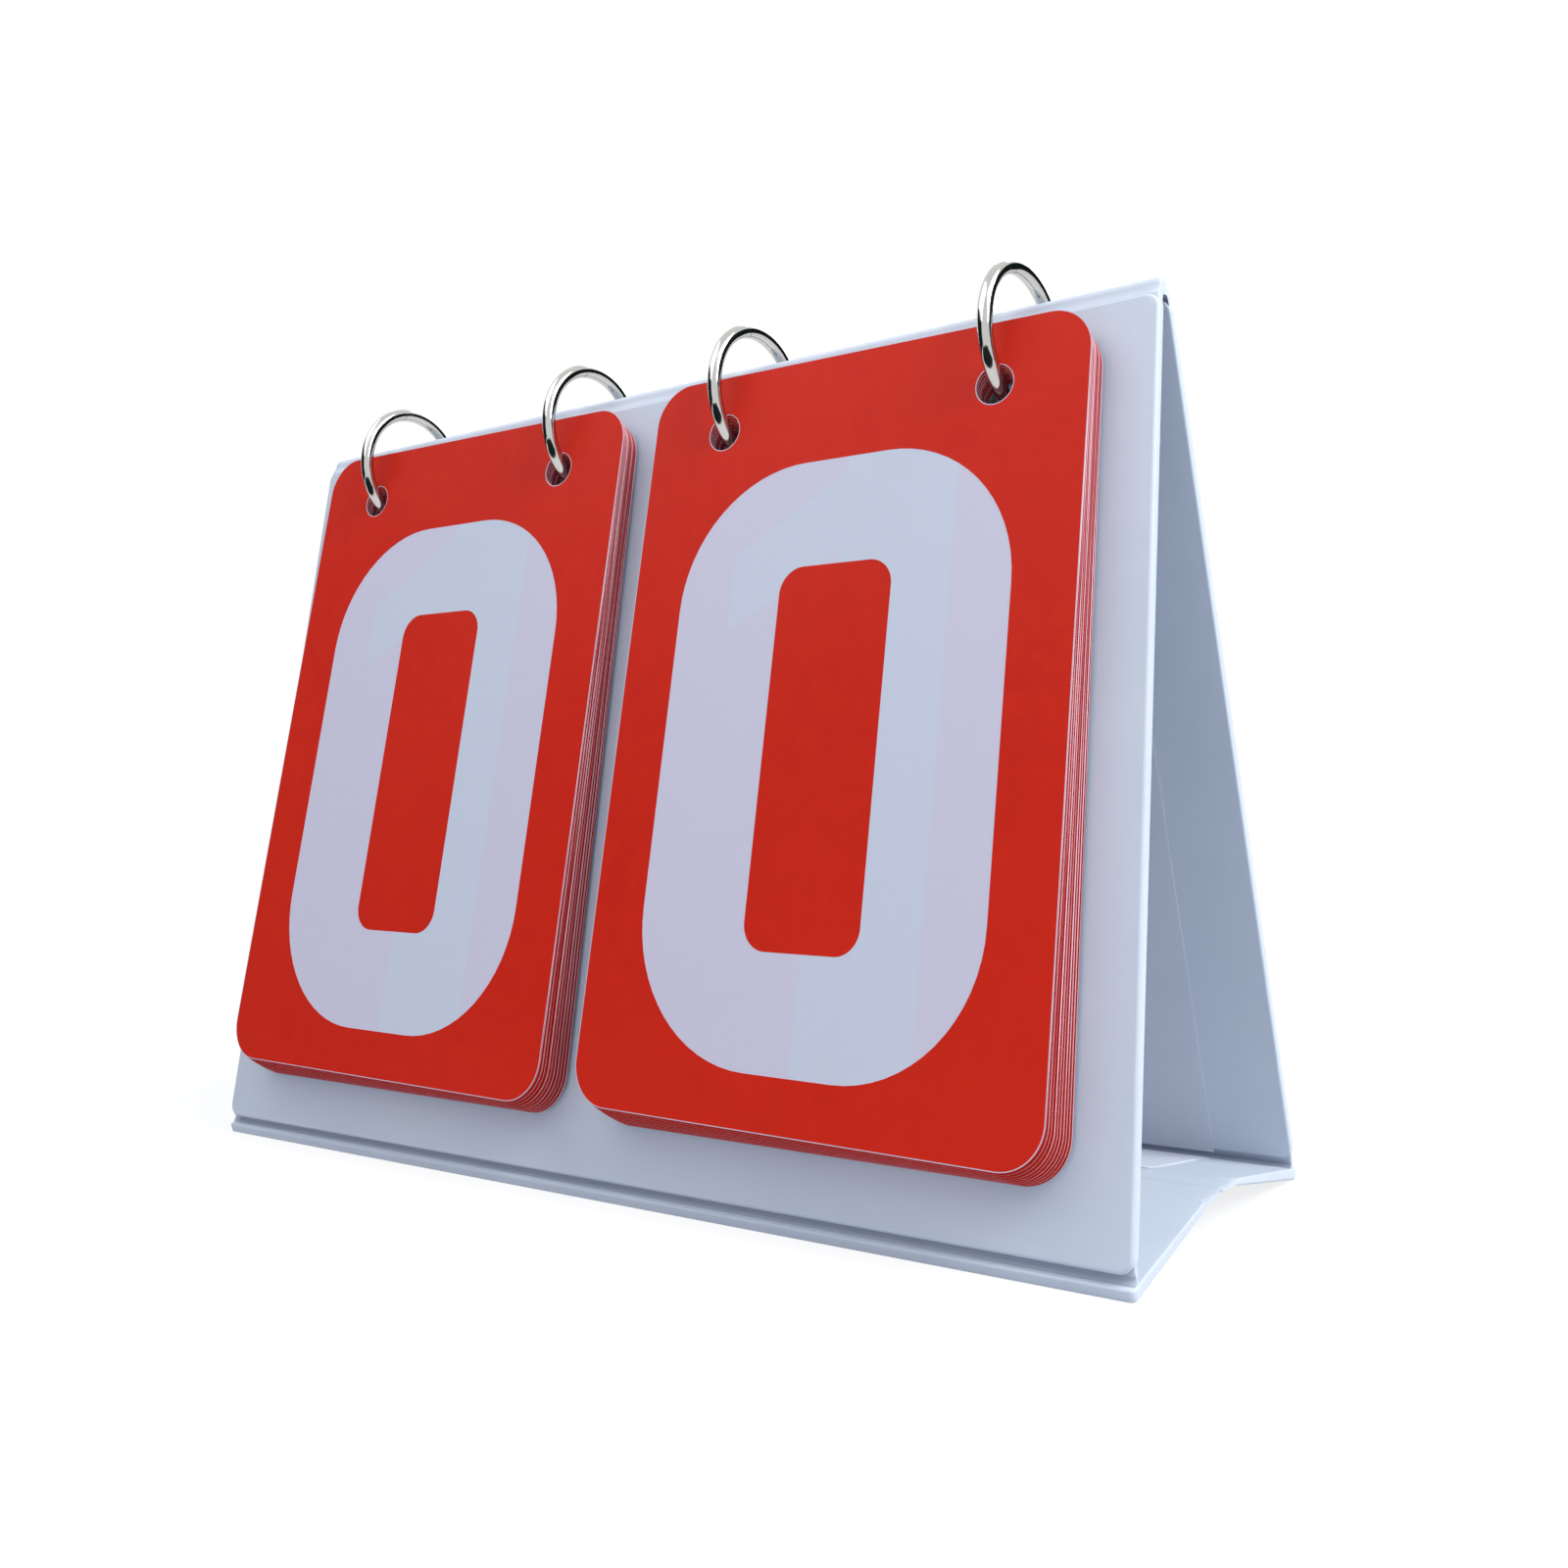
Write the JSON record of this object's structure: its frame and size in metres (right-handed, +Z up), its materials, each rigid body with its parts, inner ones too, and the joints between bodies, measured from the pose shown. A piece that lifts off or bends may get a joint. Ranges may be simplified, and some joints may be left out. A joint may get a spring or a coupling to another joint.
{
  "type": "tabletop flip scoreboard",
  "caption": "Folding wrapped-board easel with two packs of flip number cards hung on hinged binder rings over its ridge.",
  "frame": {"origin": "floor level, under the middle of the object's bounding box", "axes": "+Z up, the scores face -Y, +X to the viewer's right"},
  "size_m": [0.205, 0.0706, 0.1555],
  "materials": {
    "greyboard": "matte",
    "white_wrap": "satin",
    "white_liner": "matte",
    "red_card": "satin",
    "ring_wire": "bright nickel plate",
    "rivet": "satin"
  },
  "bodies": {
    "front_panel": {"front_panel_board": "greyboard", "front_panel_wrap": "white_wrap", "front_panel_liner": "white_liner", "ridge_hinge_strip": "white_wrap", "front_foot_hinge_strip": "white_wrap"},
    "rear_panel": {"rear_panel_board": "greyboard", "rear_panel_wrap": "white_wrap", "rear_panel_liner": "white_liner", "rear_foot_hinge_strip": "white_wrap"},
    "front_base": {"front_base_board": "greyboard", "front_base_wrap": "white_wrap", "front_base_liner": "white_liner", "base_crease_strip": "white_wrap"},
    "rear_base": {"rear_base_board": "greyboard", "rear_base_wrap": "white_wrap", "rear_base_liner": "white_liner"},
    "left_card_9": {"left_card_9": "red_card"},
    "left_card_8": {"left_card_8": "red_card"},
    "left_card_7": {"left_card_7": "red_card"},
    "left_card_6": {"left_card_6": "red_card"},
    "left_card_5": {"left_card_5": "red_card"},
    "left_card_4": {"left_card_4": "red_card"},
    "left_card_3": {"left_card_3": "red_card"},
    "left_card_2": {"left_card_2": "red_card"},
    "left_card_1": {"left_card_1": "red_card"},
    "left_card_0": {"left_card_0": "red_card"},
    "right_card_9": {"right_card_9": "red_card"},
    "right_card_8": {"right_card_8": "red_card"},
    "right_card_7": {"right_card_7": "red_card"},
    "right_card_6": {"right_card_6": "red_card"},
    "right_card_5": {"right_card_5": "red_card"},
    "right_card_4": {"right_card_4": "red_card"},
    "right_card_3": {"right_card_3": "red_card"},
    "right_card_2": {"right_card_2": "red_card"},
    "right_card_1": {"right_card_1": "red_card"},
    "right_card_0": {"right_card_0": "red_card"},
    "ring_1_front": {"ring_1_front_half": "ring_wire", "ring_1_hinge_rivet": "rivet"},
    "ring_1_rear": {"ring_1_rear_half": "ring_wire"},
    "ring_2_front": {"ring_2_front_half": "ring_wire", "ring_2_hinge_rivet": "rivet"},
    "ring_2_rear": {"ring_2_rear_half": "ring_wire"},
    "ring_3_front": {"ring_3_front_half": "ring_wire", "ring_3_hinge_rivet": "rivet"},
    "ring_3_rear": {"ring_3_rear_half": "ring_wire"},
    "ring_4_front": {"ring_4_front_half": "ring_wire", "ring_4_hinge_rivet": "rivet"},
    "ring_4_rear": {"ring_4_rear_half": "ring_wire"}
  },
  "joints": [
    {"name": "ridge_fold", "type": "hinge", "parent": "front_panel", "child": "rear_panel", "pos_m": [0, 0.0021, 0.14551], "axis": [-1, 0, 0], "range_deg": [0, 20], "deforming": ["ridge_hinge_strip", "base_crease_strip", "front_foot_hinge_strip", "rear_foot_hinge_strip"]},
    {"name": "front_base_fold", "type": "hinge", "parent": "front_panel", "child": "front_base", "pos_m": [0, -0.02908, 0.00242], "axis": [1, 0, 0], "range_deg": [0, 64.5]},
    {"name": "rear_base_fold", "type": "hinge", "parent": "rear_panel", "child": "rear_base", "pos_m": [0, 0.03329, 0.00242], "axis": [-1, 0, 0], "range_deg": [0, 64.5]},
    {"name": "left_card_9_flip", "type": "hinge", "parent": "front_panel", "child": "left_card_9", "pos_m": [0, 0.0021, 0.1418], "axis": [-1, 0, 0], "range_deg": [0, 180]},
    {"name": "left_card_8_flip", "type": "hinge", "parent": "left_card_9", "child": "left_card_8", "pos_m": [0, 0.0021, 0.1418], "axis": [-1, 0, 0], "range_deg": [0, 180]},
    {"name": "left_card_7_flip", "type": "hinge", "parent": "left_card_8", "child": "left_card_7", "pos_m": [0, 0.0021, 0.1418], "axis": [-1, 0, 0], "range_deg": [0, 180]},
    {"name": "left_card_6_flip", "type": "hinge", "parent": "left_card_7", "child": "left_card_6", "pos_m": [0, 0.0021, 0.1418], "axis": [-1, 0, 0], "range_deg": [0, 180]},
    {"name": "left_card_5_flip", "type": "hinge", "parent": "left_card_6", "child": "left_card_5", "pos_m": [0, 0.0021, 0.1418], "axis": [-1, 0, 0], "range_deg": [0, 180]},
    {"name": "left_card_4_flip", "type": "hinge", "parent": "left_card_5", "child": "left_card_4", "pos_m": [0, 0.0021, 0.1418], "axis": [-1, 0, 0], "range_deg": [0, 180]},
    {"name": "left_card_3_flip", "type": "hinge", "parent": "left_card_4", "child": "left_card_3", "pos_m": [0, 0.0021, 0.1418], "axis": [-1, 0, 0], "range_deg": [0, 180]},
    {"name": "left_card_2_flip", "type": "hinge", "parent": "left_card_3", "child": "left_card_2", "pos_m": [0, 0.0021, 0.1418], "axis": [-1, 0, 0], "range_deg": [0, 180]},
    {"name": "left_card_1_flip", "type": "hinge", "parent": "left_card_2", "child": "left_card_1", "pos_m": [0, 0.0021, 0.1418], "axis": [-1, 0, 0], "range_deg": [0, 180]},
    {"name": "left_card_0_flip", "type": "hinge", "parent": "left_card_1", "child": "left_card_0", "pos_m": [0, 0.0021, 0.1418], "axis": [-1, 0, 0], "range_deg": [0, 180]},
    {"name": "right_card_9_flip", "type": "hinge", "parent": "front_panel", "child": "right_card_9", "pos_m": [0, 0.0021, 0.1418], "axis": [-1, 0, 0], "range_deg": [0, 180]},
    {"name": "right_card_8_flip", "type": "hinge", "parent": "right_card_9", "child": "right_card_8", "pos_m": [0, 0.0021, 0.1418], "axis": [-1, 0, 0], "range_deg": [0, 180]},
    {"name": "right_card_7_flip", "type": "hinge", "parent": "right_card_8", "child": "right_card_7", "pos_m": [0, 0.0021, 0.1418], "axis": [-1, 0, 0], "range_deg": [0, 180]},
    {"name": "right_card_6_flip", "type": "hinge", "parent": "right_card_7", "child": "right_card_6", "pos_m": [0, 0.0021, 0.1418], "axis": [-1, 0, 0], "range_deg": [0, 180]},
    {"name": "right_card_5_flip", "type": "hinge", "parent": "right_card_6", "child": "right_card_5", "pos_m": [0, 0.0021, 0.1418], "axis": [-1, 0, 0], "range_deg": [0, 180]},
    {"name": "right_card_4_flip", "type": "hinge", "parent": "right_card_5", "child": "right_card_4", "pos_m": [0, 0.0021, 0.1418], "axis": [-1, 0, 0], "range_deg": [0, 180]},
    {"name": "right_card_3_flip", "type": "hinge", "parent": "right_card_4", "child": "right_card_3", "pos_m": [0, 0.0021, 0.1418], "axis": [-1, 0, 0], "range_deg": [0, 180]},
    {"name": "right_card_2_flip", "type": "hinge", "parent": "right_card_3", "child": "right_card_2", "pos_m": [0, 0.0021, 0.1418], "axis": [-1, 0, 0], "range_deg": [0, 180]},
    {"name": "right_card_1_flip", "type": "hinge", "parent": "right_card_2", "child": "right_card_1", "pos_m": [0, 0.0021, 0.1418], "axis": [-1, 0, 0], "range_deg": [0, 180]},
    {"name": "right_card_0_flip", "type": "hinge", "parent": "right_card_1", "child": "right_card_0", "pos_m": [0, 0.0021, 0.1418], "axis": [-1, 0, 0], "range_deg": [0, 180]},
    {"name": "ring_1_turn", "type": "hinge", "parent": "front_panel", "child": "ring_1_front", "pos_m": [-0.0769, 0.0021, 0.1418], "axis": [1, 0, 0], "range_deg": [0, 270]},
    {"name": "ring_1_open", "type": "hinge", "parent": "ring_1_front", "child": "ring_1_rear", "pos_m": [-0.0769, 0.0021, 0.1294], "axis": [1, 0, 0], "range_deg": [-14, 0]},
    {"name": "ring_2_turn", "type": "hinge", "parent": "front_panel", "child": "ring_2_front", "pos_m": [-0.0211, 0.0021, 0.1418], "axis": [1, 0, 0], "range_deg": [0, 270]},
    {"name": "ring_2_open", "type": "hinge", "parent": "ring_2_front", "child": "ring_2_rear", "pos_m": [-0.0211, 0.0021, 0.1294], "axis": [1, 0, 0], "range_deg": [-14, 0]},
    {"name": "ring_3_turn", "type": "hinge", "parent": "front_panel", "child": "ring_3_front", "pos_m": [0.0211, 0.0021, 0.1418], "axis": [1, 0, 0], "range_deg": [0, 270]},
    {"name": "ring_3_open", "type": "hinge", "parent": "ring_3_front", "child": "ring_3_rear", "pos_m": [0.0211, 0.0021, 0.1294], "axis": [1, 0, 0], "range_deg": [-14, 0]},
    {"name": "ring_4_turn", "type": "hinge", "parent": "front_panel", "child": "ring_4_front", "pos_m": [0.0769, 0.0021, 0.1418], "axis": [1, 0, 0], "range_deg": [0, 270]},
    {"name": "ring_4_open", "type": "hinge", "parent": "ring_4_front", "child": "ring_4_rear", "pos_m": [0.0769, 0.0021, 0.1294], "axis": [1, 0, 0], "range_deg": [-14, 0]}
  ],
  "couplings": [
    {"joint": "front_base_fold", "follows": "ridge_fold", "ratio": 3.2},
    {"joint": "rear_base_fold", "follows": "ridge_fold", "ratio": 3.2}
  ]
}
